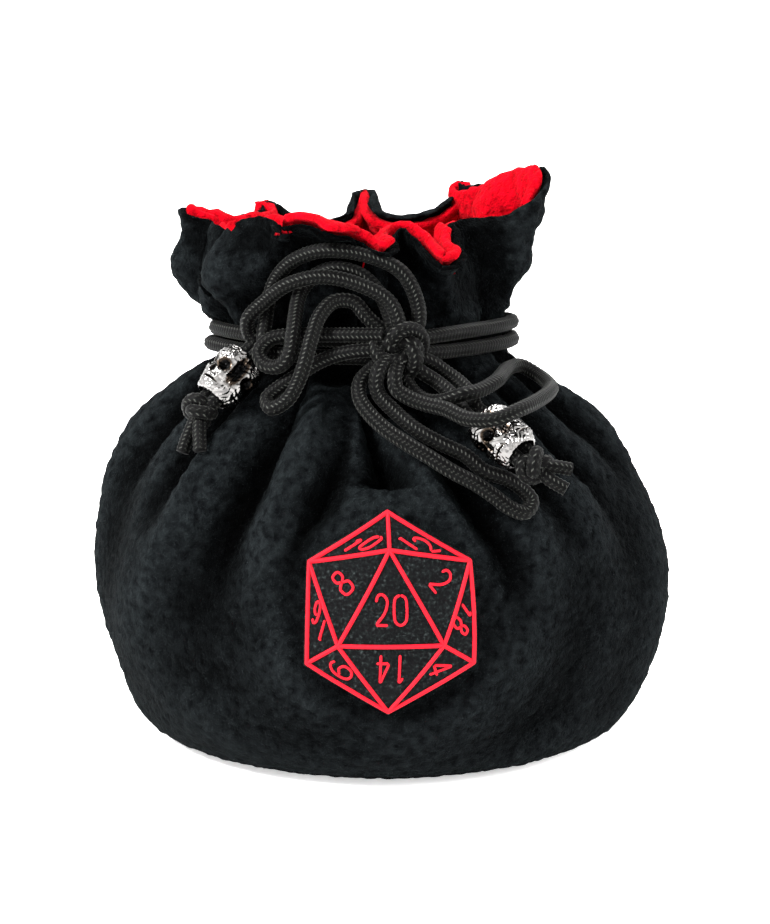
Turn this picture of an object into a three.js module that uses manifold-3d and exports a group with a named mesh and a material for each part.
// A drawstring dice bag: a lined plush pouch that stands on a flat round base, with a gathered neck, a
// ruffled collar, two drawcords tied in a bow at the front, and a metal bead on each pair of cord ends.
// Millimetres, +Z up, from the floor under the middle of the pouch. The emblem faces -Y and +X is right.
import * as THREE from "three";
import { mergeVertices } from "three/addons/utils/BufferGeometryUtils.js";
import Module from "manifold-3d";

const wasm = await Module();
wasm.setup();

// ---------------------------------------------------------------- driving dimensions
const CLOTH = 2; // one layer of plush, pile pressed down
const GAP = 0.3; // between touching pieces
const CORD = 4.2; // diameter of the braided cord
const BASE_RADIUS = 64; // edge of the flat base, where the wall starts
const BELLY_RADIUS = 88; // widest part of the pouch
const NECK_HEIGHT = 122; // level of the drawcord channel
const NECK_X = -6; // the gathered neck leans to the left of the pouch's middle
const NECK_RADIUS = 41; // over the pleats at the channel
const PLEAT_COUNT = 14;
const PLEAT_DEPTH = 8;
const CHANNEL_RADIUS = 26; // middle of the cords inside the channel
const CHANNEL_STEP = 2.4; // each cord's distance above or below NECK_HEIGHT in the channel
const CHANNEL_TOP = NECK_HEIGHT + 5.5;
const LINING_NECK_RADIUS = 23.3;
const LINING_PLEAT_COUNT = 7;
const LINING_PLEAT_DEPTH = 6;
const COLLAR_GAP = 2; // between the two layers of the collar, measured level
const STIFFENER = 1.5; // thickness of the base board

// Levels up the wall, where 0 is the base and 1 the neck, between which a change comes in smoothly.
const LEAN = { shell: [0.3, 1], lining: [0.3, 0.9] }; // of the wall's middle towards NECK_X
const PLEATS = { shell: [0.55, 1], lining: [0.75, 1] }; // of the pleats' depth
const WALL_TO_COLLAR = [0.97, 1.15]; // of the direction through the cloth, from square to level
const LINING_MEETS_SHELL = [1, 1.5];

const BLACK_PLUSH = { color: 0x101214, roughness: 0.95, metalness: 0 };
const RED_PLUSH = { color: 0xd40f22, roughness: 0.95, metalness: 0 };
const BLACK_CORD = { color: 0x1a1c1c, roughness: 0.7, metalness: 0 };
const RED_THREAD = { color: 0xe02232, roughness: 0.5, metalness: 0 };
const BLACK_THREAD = { color: 0x15171b, roughness: 0.7, metalness: 0 };
const BOARD = { color: 0x2a2a2a, roughness: 0.8, metalness: 0 };
const BRIGHT_METAL = { color: 0xb9b6b0, roughness: 0.15, metalness: 1 };

const bag = new THREE.Group();

function addPiece(name, geometry, look) {
  const mesh = new THREE.Mesh(geometry, new THREE.MeshStandardMaterial(look));
  mesh.name = name;
  bag.add(mesh);
  return mesh;
}

// ---------------------------------------------------------------- solids and booleans
function solidOf(geometry) {
  const bare = new THREE.BufferGeometry();
  const source = geometry.index ? geometry.toNonIndexed() : geometry;
  bare.setAttribute("position", source.getAttribute("position"));
  const merged = mergeVertices(bare, 1e-4);
  return new wasm.Manifold(
    new wasm.Mesh({
      numProp: 3,
      vertProperties: merged.attributes.position.array,
      triVerts: new Uint32Array(merged.index.array),
    }),
  );
}

function geometryOf(solid) {
  const mesh = solid.getMesh();
  const geometry = new THREE.BufferGeometry();
  const points = new Float32Array(mesh.numVert * 3);
  for (let i = 0; i < mesh.numVert; i++)
    for (let k = 0; k < 3; k++)
      points[i * 3 + k] = mesh.vertProperties[i * mesh.numProp + k];
  geometry.setAttribute("position", new THREE.BufferAttribute(points, 3));
  geometry.setIndex(new THREE.BufferAttribute(mesh.triVerts, 1));
  geometry.computeVertexNormals();
  return geometry;
}

// ---------------------------------------------------------------- the cloth's surface
const smoothstep = (low, high, x) => {
  const t = Math.min(1, Math.max(0, (x - low) / (high - low)));
  return t * t * (3 - 2 * t);
};
const radians = (degrees) => (degrees * Math.PI) / 180;

// Half sections of the pouch wall, [radius, height] from the base edge to the neck.
const SHELL_PROFILE = [
  [BASE_RADIUS, 0],
  [74, 4.5],
  [82, 18],
  [BELLY_RADIUS - 0.5, 36],
  [BELLY_RADIUS, 48],
  [85.5, 64],
  [79.5, 83],
  [70, 99],
  [57, 111],
  [47, 117.5],
  [NECK_RADIUS, NECK_HEIGHT],
];
const LINING_PROFILE = [
  [BASE_RADIUS - 3.5, 4.8],
  [70, 7.6],
  [78.5, 19],
  [BELLY_RADIUS - 4.5, 36],
  [BELLY_RADIUS - 4, 48],
  [81.5, 63],
  [75.6, 81],
  [66, 95],
  [50, 106],
  [34, 112.5],
  [26, 115],
  [LINING_NECK_RADIUS, NECK_HEIGHT - 3],
  [LINING_NECK_RADIUS, CHANNEL_TOP],
];

// The collar's rim, one lobe or valley every 20 degrees from the front towards the right:
// [angle, radius, height, how far the cloth below it bulges out].
const RIM = [
  [8, 43, 148, 3],
  [25, 33, 156, 2],
  [40, 45, 143, 4],
  [54, 32, 157, 3],
  [73, 49, 161, 4],
  [93, 57, 173, 3],
  [114, 39, 167, 3],
  [138, 48, 164, 5],
  [158, 31, 160, 3],
  [180, 47, 163, 5],
  [202, 32, 159, 3],
  [223, 50, 162, 5],
  [244, 35, 158, 4],
  [268, 53, 159, 12],
  [286, 40, 153, 7],
  [308, 50, 163, 6],
  [325, 37, 165, 4],
  [346, 41, 157, 3],
];

const sectionCurve = (profile) =>
  new THREE.CatmullRomCurve3(profile.map(([r, z]) => new THREE.Vector3(r, 0, z)));
const shellSection = sectionCurve(SHELL_PROFILE);
const liningSection = sectionCurve(LINING_PROFILE);

const around = (angle, radius, z, x = NECK_X) =>
  new THREE.Vector3(x + radius * Math.sin(angle), -radius * Math.cos(angle), z);
const rimCurve = new THREE.CatmullRomCurve3(
  RIM.map(([angle, radius, z]) => around(radians(angle), radius, z)),
  true,
);
const bulgeCurve = new THREE.CatmullRomCurve3(
  RIM.map(([, , , bulge]) => new THREE.Vector3(bulge, 0, 0)),
  true,
);

// 0 on a ridge and 1 in a valley of the neck's pleats.
const pleat = (angle, count) => 0.5 - 0.5 * Math.cos(count * angle);

// A point on the outer face of the wall: turn is 0 to 1 round the bag from the front towards +X, and level is
// 0 to 1 from the base to the neck, then 1 to 2 from the neck to the rim.
function shellPoint(turn, level) {
  const angle = turn * 2 * Math.PI;
  const depth = PLEAT_DEPTH * pleat(angle, PLEAT_COUNT);
  if (level <= 1) {
    const at = shellSection.getPointAt(level);
    const inward = depth * smoothstep(...PLEATS.shell, level);
    return around(angle, at.x - inward, at.z, NECK_X * smoothstep(...LEAN.shell, level));
  }
  const up = level - 1;
  const neck = around(angle, NECK_RADIUS - depth, NECK_HEIGHT);
  const rim = rimCurve.getPoint((turn + 1) % 1);
  const bulge = bulgeCurve.getPoint((turn + 1) % 1).x;
  const middle = neck.clone().lerp(rim, 0.5).addScaledVector(around(angle, 1, 0, 0), bulge);
  return neck
    .multiplyScalar((1 - up) * (1 - 2 * up))
    .addScaledVector(middle, 4 * up * (1 - up))
    .addScaledVector(rim, up * (2 * up - 1));
}

// The direction through a wall, from inside to outside: square to its half section below the neck, and level
// above it.
function through(section, turn, level) {
  const angle = turn * 2 * Math.PI;
  const tangent = section.getTangentAt(Math.min(1, level));
  const square = 1 - smoothstep(...WALL_TO_COLLAR, level);
  const out = around(angle, tangent.z * square + (1 - square), -tangent.x * square, 0);
  return out.normalize();
}

const shellInside = (turn, level) =>
  shellPoint(turn, level).addScaledVector(through(shellSection, turn, level), -CLOTH);

// The lining's face towards the shell. It leaves room for the channel at the neck, and lies against the shell
// above it.
function liningPoint(turn, level) {
  const angle = turn * 2 * Math.PI;
  const depth = LINING_PLEAT_DEPTH * pleat(angle, LINING_PLEAT_COUNT);
  if (level <= 1) {
    const at = liningSection.getPointAt(level);
    const inward = depth * smoothstep(...PLEATS.lining, level);
    return around(angle, at.x - inward, at.z, NECK_X * smoothstep(...LEAN.lining, level));
  }
  const neck = around(angle, LINING_NECK_RADIUS - depth, CHANNEL_TOP);
  const away = through(shellSection, turn, level).multiplyScalar(-(CLOTH + COLLAR_GAP));
  return neck.lerp(shellPoint(turn, level).add(away), smoothstep(...LINING_MEETS_SHELL, level));
}

const liningInside = (turn, level) =>
  liningPoint(turn, level).addScaledVector(through(liningSection, turn, level), -CLOTH);

// A closed panel between an outer and an inner surface, over part of the way round.
function panel(outer, inner, fromTurn, toTurn, columns, levels) {
  const points = [];
  const rows = levels.length;
  for (const surface of [outer, inner])
    for (const level of levels)
      for (let c = 0; c <= columns; c++)
        points.push(...surface(fromTurn + ((toTurn - fromTurn) * c) / columns, level));
  const at = (side, row, column) => (side * rows + row) * (columns + 1) + column;
  const index = [];
  const quad = (a, b, c, d) => index.push(a, b, c, a, c, d);
  for (let r = 0; r + 1 < rows; r++)
    for (let c = 0; c < columns; c++) {
      quad(at(0, r, c), at(0, r, c + 1), at(0, r + 1, c + 1), at(0, r + 1, c));
      quad(at(1, r, c + 1), at(1, r, c), at(1, r + 1, c), at(1, r + 1, c + 1));
    }
  for (let r = 0; r + 1 < rows; r++) {
    quad(at(1, r, 0), at(0, r, 0), at(0, r + 1, 0), at(1, r + 1, 0));
    quad(at(0, r, columns), at(1, r, columns), at(1, r + 1, columns), at(0, r + 1, columns));
  }
  for (let c = 0; c < columns; c++) {
    quad(at(1, 0, c), at(1, 0, c + 1), at(0, 0, c + 1), at(0, 0, c));
    quad(at(0, rows - 1, c), at(0, rows - 1, c + 1), at(1, rows - 1, c + 1), at(1, rows - 1, c));
  }
  const geometry = new THREE.BufferGeometry();
  geometry.setAttribute("position", new THREE.Float32BufferAttribute(points, 3));
  geometry.setIndex(index);
  return geometry;
}

const SEAM = 0.0008; // half of the gap between two panels at a side seam, as a share of the way round
const COLUMNS = 28; // across one panel
const POUCH_LEVELS = [0.02, 0.1, 0.22, 0.36, 0.5, 0.64, 0.76, 0.86, 0.94];
const COLLAR_LEVELS = [1.12, 1.3, 1.5, 1.7, 1.85];
const SHELL_RIM = 2;
const LINING_RIM = 1.98;
const SIDES = { front: -0.25, back: 0.25 };
const OPENING_WIDTH = 26; // along the channel
const OPENING_HEIGHT = 13.5;
const OPENING_LEVEL = NECK_HEIGHT + 1.2;

const sectionLength = shellSection.getLength();

// The two side openings of the channel, where the drawcords come out at the seams.
function cordOpenings() {
  const across = new THREE.BoxGeometry(4 * NECK_RADIUS, OPENING_WIDTH, OPENING_HEIGHT);
  return solidOf(across.translate(NECK_X, 0, OPENING_LEVEL));
}

// Each half of the shell is a pouch panel and a collar panel, parted at the stitching of the channel. The
// lining of each half is one panel.
for (const [side, start] of Object.entries(SIDES)) {
  const from = start + SEAM;
  const to = start + 0.5 - SEAM;
  const shellParts = {
    pouch: [...POUCH_LEVELS, 1 - (2 * GAP) / sectionLength],
    collar: [1, ...COLLAR_LEVELS, SHELL_RIM],
  };
  for (const [part, levels] of Object.entries(shellParts)) {
    const shell = solidOf(panel(shellPoint, shellInside, from, to, COLUMNS, levels));
    addPiece(`shell_${side}_${part}`, geometryOf(shell.subtract(cordOpenings())), BLACK_PLUSH);
  }
  const liningLevels = [...POUCH_LEVELS, 1, ...COLLAR_LEVELS, LINING_RIM];
  const lining = panel(liningPoint, liningInside, from, to, COLUMNS, liningLevels);
  addPiece(`lining_${side}_panel`, lining, RED_PLUSH);
}

// ---------------------------------------------------------------- the base
const DISC_EDGE = 0.6; // chamfer

function disc(radius, low, high) {
  const outline = [
    [0, low],
    [radius - DISC_EDGE, low],
    [radius, low + DISC_EDGE],
    [radius, high - DISC_EDGE],
    [radius - DISC_EDGE, high],
    [0, high],
  ];
  const geometry = new THREE.LatheGeometry(
    outline.map(([r, z]) => new THREE.Vector2(r, z)),
    48,
  );
  return geometry.rotateX(Math.PI / 2);
}

const BASE_CLOTH = 2.2;
const BOARD_LEVEL = BASE_CLOTH + GAP;
const LINING_LEVEL = BOARD_LEVEL + STIFFENER + GAP;
addPiece("shell_base", disc(BASE_RADIUS - 2, 0, BASE_CLOTH), BLACK_PLUSH);
addPiece("base_stiffener", disc(BASE_RADIUS - 5.5, BOARD_LEVEL, BOARD_LEVEL + STIFFENER), BOARD);
addPiece("lining_base", disc(BASE_RADIUS - 7, LINING_LEVEL, LINING_LEVEL + CLOTH), RED_PLUSH);

// ---------------------------------------------------------------- the emblem
// A twenty-sided die seen along one of its faces: a hexagon round a triangle, joined corner to corner.
const EMBLEM_RADIUS = 28.3;
const EMBLEM_TURN = 0.004; // its middle, round the bag from the front
const EMBLEM_LEVEL = 0.42; // its middle, up the wall
const INNER_RADIUS = 0.6 * EMBLEM_RADIUS;
const PATCH = 1.2; // thickness of the stitched ground
const LINE_WIDTH = 1.4;
const LINE_HEIGHT = 0.8;
const PATCH_RINGS = 4;
const PATCH_COLUMNS = 24;

// The place that is x to the right and z up from the emblem's middle along the cloth, lift above it.
function onCloth(x, z, lift) {
  const turn = EMBLEM_TURN + x / (2 * Math.PI * BELLY_RADIUS);
  const level = EMBLEM_LEVEL + z / sectionLength;
  return shellPoint(turn, level).addScaledVector(through(shellSection, turn, level), lift);
}

function emblemGround() {
  const points = [];
  const index = [];
  for (const lift of [GAP, GAP + PATCH])
    for (let ring = 0; ring <= PATCH_RINGS; ring++)
      for (let c = 0; c < PATCH_COLUMNS; c++) {
        const angle = (c / PATCH_COLUMNS) * 2 * Math.PI;
        const fromCorner = (angle % (Math.PI / 3)) - Math.PI / 6;
        const edge = (EMBLEM_RADIUS * Math.cos(Math.PI / 6)) / Math.cos(fromCorner);
        const r = (edge * ring) / PATCH_RINGS;
        points.push(...onCloth(r * Math.sin(angle), r * Math.cos(angle), lift));
      }
  const at = (side, ring, c) => (side * (PATCH_RINGS + 1) + ring) * PATCH_COLUMNS + (c % PATCH_COLUMNS);
  const face = (...corners) => index.push(...corners);
  for (let c = 0; c < PATCH_COLUMNS; c++) {
    face(at(1, 0, 0), at(1, 1, c + 1), at(1, 1, c));
    face(at(0, 0, 0), at(0, 1, c), at(0, 1, c + 1));
    for (let ring = 1; ring < PATCH_RINGS; ring++) {
      face(at(1, ring, c), at(1, ring, c + 1), at(1, ring + 1, c + 1));
      face(at(1, ring, c), at(1, ring + 1, c + 1), at(1, ring + 1, c));
      face(at(0, ring, c + 1), at(0, ring, c), at(0, ring + 1, c + 1));
      face(at(0, ring, c), at(0, ring + 1, c), at(0, ring + 1, c + 1));
    }
    face(at(1, PATCH_RINGS, c), at(1, PATCH_RINGS, c + 1), at(0, PATCH_RINGS, c + 1));
    face(at(1, PATCH_RINGS, c), at(0, PATCH_RINGS, c + 1), at(0, PATCH_RINGS, c));
  }
  const geometry = new THREE.BufferGeometry();
  geometry.setAttribute("position", new THREE.Float32BufferAttribute(points, 3));
  geometry.setIndex(index);
  return geometry;
}

// One stitched line: a bar bent over the ground, a little longer than its line so that joined lines meet.
function emblemLine([ax, az], [bx, bz]) {
  const length = Math.hypot(bx - ax, bz - az);
  const bends = Math.ceil(length / 10);
  const bar = new THREE.BoxGeometry(length + LINE_WIDTH, LINE_HEIGHT, LINE_WIDTH, bends, 1, 1);
  bar.rotateY(-Math.atan2(bz - az, bx - ax));
  const place = bar.getAttribute("position");
  for (let i = 0; i < place.count; i++) {
    const x = (ax + bx) / 2 + place.getX(i);
    const z = (az + bz) / 2 + place.getZ(i);
    const lift = 2 * GAP + PATCH + LINE_HEIGHT / 2 - place.getY(i);
    place.setXYZ(i, ...onCloth(x, z, lift));
  }
  return bar;
}

function emblemLines() {
  const corner = (degrees, radius) => [
    radius * Math.sin(radians(degrees)),
    radius * Math.cos(radians(degrees)),
  ];
  const outer = [0, 60, 120, 180, 240, 300].map((degrees) => corner(degrees, EMBLEM_RADIUS - LINE_WIDTH));
  const inner = [0, 120, 240].map((degrees) => corner(degrees, INNER_RADIUS));
  const lines = outer.map((from, i) => [from, outer[(i + 1) % 6]]);
  inner.forEach((from, i) => {
    lines.push([from, inner[(i + 1) % 3]]);
    for (const step of [5, 0, 1]) lines.push([from, outer[(2 * i + step) % 6]]);
  });
  return lines.map(([from, to]) => solidOf(emblemLine(from, to))).reduce((all, line) => all.add(line));
}

addPiece("emblem_ground", emblemGround(), BLACK_THREAD);
addPiece("emblem_lines", geometryOf(emblemLines()), RED_THREAD);

// ---------------------------------------------------------------- cords
const CORD_SIDES = 8;
const CORD_STEP = 6; // length of one straight step of a cord's solid

const vectors = (points) => points.map(([x, y, z]) => new THREE.Vector3(x, y, z));

function cordSolid(points) {
  const route = new THREE.CatmullRomCurve3(vectors(points));
  const section = new THREE.Shape();
  for (let i = 0; i < CORD_SIDES; i++) {
    const angle = ((i + 0.5) / CORD_SIDES) * 2 * Math.PI;
    const corner = [(CORD / 2) * Math.cos(angle), (CORD / 2) * Math.sin(angle)];
    if (i === 0) section.moveTo(...corner);
    else section.lineTo(...corner);
  }
  const steps = Math.ceil(route.getLength() / CORD_STEP);
  return solidOf(new THREE.ExtrudeGeometry(section, { extrudePath: route, steps }));
}

function ellipsoid([x, y, z], [rx, ry, rz]) {
  const ball = new THREE.SphereGeometry(1, 20, 12);
  return ball.scale(rx, ry, rz).translate(x, y, z);
}

// The bow's knot at the front of the neck, and the room that the cords leave round it.
const BOW_KNOT = [4.5, -53, 124];
const BOW_KNOT_RADII = [10, 7, 9.5];
const knot = solidOf(ellipsoid(BOW_KNOT, BOW_KNOT_RADII));
const KNOT_ROOM = GAP + 0.1; // between a knot and the faces of the cords that meet it
const knotRoom = solidOf(ellipsoid(BOW_KNOT, BOW_KNOT_RADII.map((r) => r + KNOT_ROOM)));
addPiece("bow_knot", geometryOf(knot), BLACK_CORD);

// Each drawcord goes once round the channel, and both of its ends come out of the opening on its own side.
const ringPoint = (degrees, radius, z) => around(radians(degrees), radius, z).toArray();
const LEFT_LEVEL = NECK_HEIGHT - CHANNEL_STEP;
const RIGHT_LEVEL = NECK_HEIGHT + CHANNEL_STEP;
const LEFT_RING = [
  ringPoint(282, 45.5, 125.6),
  ringPoint(275, 44, 125.4),
  ringPoint(265, 37.5, 123.8),
  ringPoint(254, 30, 120.8),
  ...[238, 214, 190, 166, 142, 118, 94, 70, 46, 22, 358, 334, 310].map((degrees) =>
    ringPoint(degrees, CHANNEL_RADIUS, LEFT_LEVEL),
  ),
  [-31.4, -6.5, 119.6],
  [-35.5, -0.8, 119.6],
  [-41, -0.2, 119.8],
  [-46.5, -3.2, 120.2],
];
const RIGHT_RING = [
  ringPoint(78, 46, 122),
  ringPoint(86, 44.5, 121.8),
  ringPoint(95, 38, 122),
  ringPoint(106, 30, 123.6),
  ...[122, 146, 170, 194, 218, 242, 266, 290, 314, 338, 2, 26, 50].map((degrees) =>
    ringPoint(degrees, CHANNEL_RADIUS, RIGHT_LEVEL),
  ),
  [19.4, -6.5, 124.4],
  [23.5, -0.8, 125.2],
  [29, -0.2, 126.3],
  [34.5, -3.2, 127],
];
addPiece("left_drawcord_in_channel", geometryOf(cordSolid(LEFT_RING)), BLACK_CORD);
addPiece("right_drawcord_in_channel", geometryOf(cordSolid(RIGHT_RING)), BLACK_CORD);

// The free stretches of the two drawcords. A lead runs from a side opening to the bow knot, a loop leaves the
// knot and comes back to it, and a tail runs from the knot through a bead to the knot that ends it.
const STRETCHES = {
  left_lead_upper: [
    [-50.6, -10.3, 125.6],
    [-50.2, -14.8, 125.7],
    [-44.8, -25.5, 125.8],
    [-35.7, -35.3, 125.8],
    [-24.7, -42, 125.8],
    [-14, -45.5, 125.8],
    [-6, -47, 125.7],
    [1, -49.5, 125.5],
  ],
  left_lead_lower: [
    [-47.2, -3.6, 120.3],
    [-50.5, -6.6, 120.6],
    [-52, -13.5, 121],
    [-46.7, -23.5, 121],
    [-39.2, -33.2, 121],
    [-28.1, -41.5, 121],
    [-14.2, -46.3, 121],
    [-6, -48.2, 121],
    [1, -49.5, 121],
  ],
  right_lead_lower: [
    [39.1, -10.4, 122],
    [38.6, -14.6, 122],
    [35, -22.2, 122],
    [26.9, -32.9, 122],
    [19.5, -40.5, 122],
    [14, -45.8, 122.3],
    [7, -49.5, 122.5],
  ],
  right_lead_upper: [
    [35.2, -3.6, 127.1],
    [38.2, -6.6, 127.2],
    [38.8, -12, 127.2],
    [36.2, -19, 127.2],
    [31.7, -26.4, 127.2],
    [23, -37, 127.2],
    [15, -45, 127],
    [8, -49.5, 126.5],
  ],
  left_loop_upper: [
    [0, -55, 128.5],
    [-10, -53.5, 128.3],
    [-18, -51, 128],
    [-26, -49.5, 127.8],
    [-32.5, -49, 126.5],
    [-35.7, -50.3, 123],
    [-34, -53, 119.7],
    [-30, -55.5, 119.5],
    [-27, -56.8, 122.5],
    [-25.8, -54.6, 128.5],
    [-25.2, -49.5, 133.8],
    [-24.3, -45, 138.5],
    [-22.5, -43.5, 141.6],
    [-19.3, -43, 144.6],
    [-13.5, -45.2, 146.6],
    [-6.5, -46.2, 144.8],
    [-1.5, -47.2, 140],
    [1.5, -48.6, 134.5],
    [3, -50.5, 128],
  ],
  left_loop_lower: [
    [0, -55, 124.2],
    [-8, -55, 123.8],
    [-14, -54, 122.4],
    [-19.5, -54, 120],
    [-24.5, -54.5, 116.8],
    [-29.5, -54.5, 113.5],
    [-33.2, -55.8, 110.3],
    [-31.8, -59.5, 108],
    [-27.3, -60.8, 110.6],
    [-24.3, -60.5, 115.5],
    [-22.3, -60.2, 121],
    [-20.5, -57.5, 127.5],
    [-18, -53, 134],
    [-14, -49.8, 137.5],
    [-8.5, -49, 137.2],
    [-4.5, -50, 133],
    [1, -51, 128],
  ],
  right_loop_upper: [
    [4, -57, 120],
    [3.2, -60.8, 117],
    [3.8, -62, 114],
    [7, -63, 111.7],
    [12, -65, 110],
    [18, -67.8, 109],
    [24, -72.8, 107],
    [31, -77.7, 107.5],
    [37.5, -75.7, 110],
    [43.5, -65, 111],
    [48, -50, 111.5],
    [48.8, -37, 111.5],
    [46, -28.8, 113.2],
    [41, -28.7, 116],
    [37, -35, 116.3],
    [34.5, -45, 115.7],
    [32, -55, 115],
    [27.1, -61.6, 113.4],
    [22.4, -64.8, 112.8],
    [17, -63.2, 110.8],
    [12, -60, 110.4],
    [8, -57.5, 113.2],
    [5.5, -54, 118],
  ],
  right_loop_lower: [
    [1, -56, 122],
    [-1.5, -60, 118.3],
    [-2, -60.9, 115.3],
    [-1, -61.3, 112],
    [2.5, -63.6, 108.5],
    [9, -68, 103.5],
    [16, -70.3, 99.8],
    [23, -71.2, 96.5],
    [28.5, -72.2, 92.2],
    [35, -70.5, 89.6],
    [39.5, -69.2, 86.3],
    [42, -70, 83],
    [40, -72.3, 80.3],
    [35.8, -73.8, 81.8],
    [31, -74.6, 85.5],
    [25.5, -75.3, 89.3],
    [19, -75.6, 92.8],
    [12.5, -74.1, 96.7],
    [6, -72, 100.3],
    [0, -68.7, 104],
    [-4.5, -64.8, 108],
    [-6.8, -61.3, 111.6],
    [-6.6, -58.3, 115.3],
    [-3.5, -55, 118.5],
    [0, -54, 121],
  ],
};

// ---------------------------------------------------------------- beads and the cords through them
const BEAD_LENGTH = 16;
const BEAD_RADIUS = 7.5;
const BEAD_SHOULDER_RADIUS = 7.1;
const BEAD_END_RADIUS = 5.7;
const BEAD_HOLE = 4.6; // radius: both ends of a cord lie side by side in it
const PAIR_STEP = 2.2; // each cord's distance from the middle of the bead
const END_KNOT_RADIUS = 5;

// Where each bead lies: its middle, the way its tail runs through it, and the way from the first cord in it
// to the second.
const BEADS = {
  left: { middle: [-44.5, -46, 115], along: [-0.637, -0.355, -0.681], across: [0.612, -0.771, -0.171] },
  right: { middle: [33.5, -69.6, 101.3], along: [0.66, -0.56, -0.5], across: [0.738, 0.606, 0.296] },
};
const CORD_ENDS = {
  left: [
    [
      [-56, -53, 99.5],
      [-57.8, -55, 94.5],
    ],
    [
      [-52.8, -55.5, 100],
      [-52.5, -58, 95.5],
    ],
  ],
  right: [
    [
      [47.5, -78, 94.5],
      [52.5, -77, 93.5],
    ],
    [
      [46.5, -79.5, 91],
      [51, -80.5, 88.5],
    ],
  ],
};
const TAILS = {
  left: [
    [
      [5, -54, 127],
      [4.3, -54, 132.5],
      [1.5, -52.3, 138],
      [-7, -50.5, 142.5],
      [-17.4, -49.3, 144.6],
      [-27, -47, 142.3],
      [-34, -42.5, 137],
      [-39.2, -40.6, 131.5],
      [-39.2, -39.3, 127.3],
    ],
    [
      [7, -51.5, 127],
      [10, -50, 131],
      [9.8, -48.8, 137],
      [5.5, -47.8, 145.5],
      [-4, -47, 150.3],
      [-17.3, -46, 151.8],
      [-26, -41.8, 148.5],
      [-31, -37.8, 143],
      [-33.3, -37, 137],
      [-34.2, -39.3, 131],
      [-34.8, -42, 127],
    ],
  ],
  right: [
    [
      [8, -54.5, 120],
      [11.5, -55, 117.5],
      [14.8, -54.2, 115.3],
      [18.5, -56.4, 112.6],
      [21.5, -60, 109.5],
    ],
    [
      [9, -52, 122],
      [14, -51, 120],
      [17.8, -50.8, 117.3],
      [21.8, -52.3, 114.6],
      [25, -56.2, 111.5],
    ],
  ],
};
const STRAIGHT = 5; // of each tail above its bead, which can slide up it

const vector = (point) => new THREE.Vector3(...point);

function tailSolid(side, which, route) {
  const { middle, along, across } = BEADS[side];
  const onAxis = (distance) =>
    vector(middle)
      .addScaledVector(vector(along), distance)
      .addScaledVector(vector(across), which ? PAIR_STEP : -PAIR_STEP)
      .toArray();
  const half = BEAD_LENGTH / 2;
  const stations = [-half - STRAIGHT, -half - STRAIGHT / 2, -half, 0, half, half + END_KNOT_RADIUS];
  return cordSolid([...route, ...stations.map(onAxis)]);
}

for (const [name, route] of Object.entries(STRETCHES))
  addPiece(name, geometryOf(cordSolid(route).subtract(knotRoom)), BLACK_CORD);

for (const [side, routes] of Object.entries(TAILS)) {
  const { middle, along } = BEADS[side];
  const upright = new THREE.Vector3(0, 1, 0);
  const turn = new THREE.Quaternion().setFromUnitVectors(upright, vector(along).normalize());
  const half = BEAD_LENGTH / 2;
  const outline = [
    [BEAD_HOLE, -half],
    [BEAD_END_RADIUS, -half],
    [BEAD_SHOULDER_RADIUS, -half / 2],
    [BEAD_RADIUS, 0],
    [BEAD_SHOULDER_RADIUS, half / 2],
    [BEAD_END_RADIUS, half],
    [BEAD_HOLE, half],
    [BEAD_HOLE, -half],
  ].map(([r, z]) => new THREE.Vector2(r, z));
  const bead = new THREE.LatheGeometry(outline, 24);
  addPiece(`${side}_bead`, bead.applyQuaternion(turn).translate(...middle), BRIGHT_METAL);
  const knotAt = vector(middle).addScaledVector(vector(along), half + END_KNOT_RADIUS + GAP).toArray();
  const size = (grow) => [0, 1, 2].map(() => END_KNOT_RADIUS + grow);
  let endKnot = solidOf(ellipsoid(knotAt, size(0)));
  for (const end of CORD_ENDS[side]) endKnot = endKnot.add(cordSolid([knotAt, ...end]));
  addPiece(`${side}_end_knot`, geometryOf(endKnot), BLACK_CORD);
  const endRoom = solidOf(ellipsoid(knotAt, size(KNOT_ROOM)));
  routes.forEach((route, which) => {
    const tail = tailSolid(side, which, route).subtract(knotRoom).subtract(endRoom);
    addPiece(`${side}_tail_${which + 1}`, geometryOf(tail), BLACK_CORD);
  });
}

export default bag;
